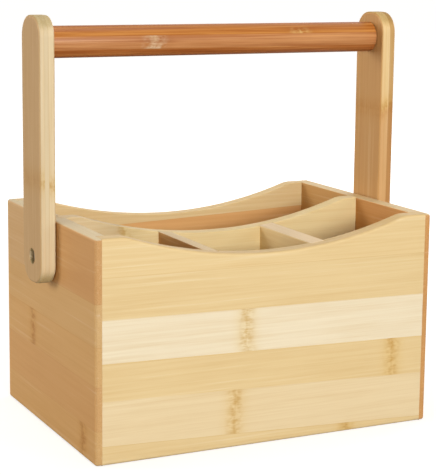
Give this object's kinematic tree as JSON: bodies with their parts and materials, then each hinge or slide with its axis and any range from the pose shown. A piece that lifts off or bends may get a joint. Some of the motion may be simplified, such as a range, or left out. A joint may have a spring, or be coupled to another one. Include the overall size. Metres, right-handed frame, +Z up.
{
  "type": "utensil holder",
  "caption": "Open wooden utensil holder with a dipped rim, one long and several square compartments, and a round-barred carrying handle that swings down.",
  "frame": {"origin": "middle of the rectangle that the box stands on, at table height", "axes": "+X to the right and +Z up seen from the front; -Y towards the front, where the square compartments are"},
  "size_m": [0.2728, 0.174, 0.284],
  "materials": {
    "bamboo": "satin lacquered bamboo board",
    "end_bamboo": "satin lacquered bamboo board",
    "arm_bamboo": "satin lacquered bamboo board",
    "dark_bamboo": "satin lacquered carbonised bamboo",
    "screw_steel": "dull zinc-plated steel"
  },
  "bodies": {
    "box": {"front_panel": "bamboo", "back_panel": "bamboo", "left_end_panel": "end_bamboo", "right_end_panel": "end_bamboo", "base_panel": "bamboo", "long_divider": "bamboo", "left_cross_divider": "bamboo", "right_cross_divider": "bamboo", "left_pivot_screw": "screw_steel", "right_pivot_screw": "screw_steel"},
    "handle": {"left_arm": "arm_bamboo", "right_arm": "arm_bamboo", "handle_rod": "dark_bamboo"}
  },
  "joints": [
    {"name": "handle_swing", "type": "hinge", "parent": "box", "child": "handle", "pos_m": [0, 0, 0.1225], "axis": [1, 0, 0], "range_deg": [-135, 135]}
  ]
}
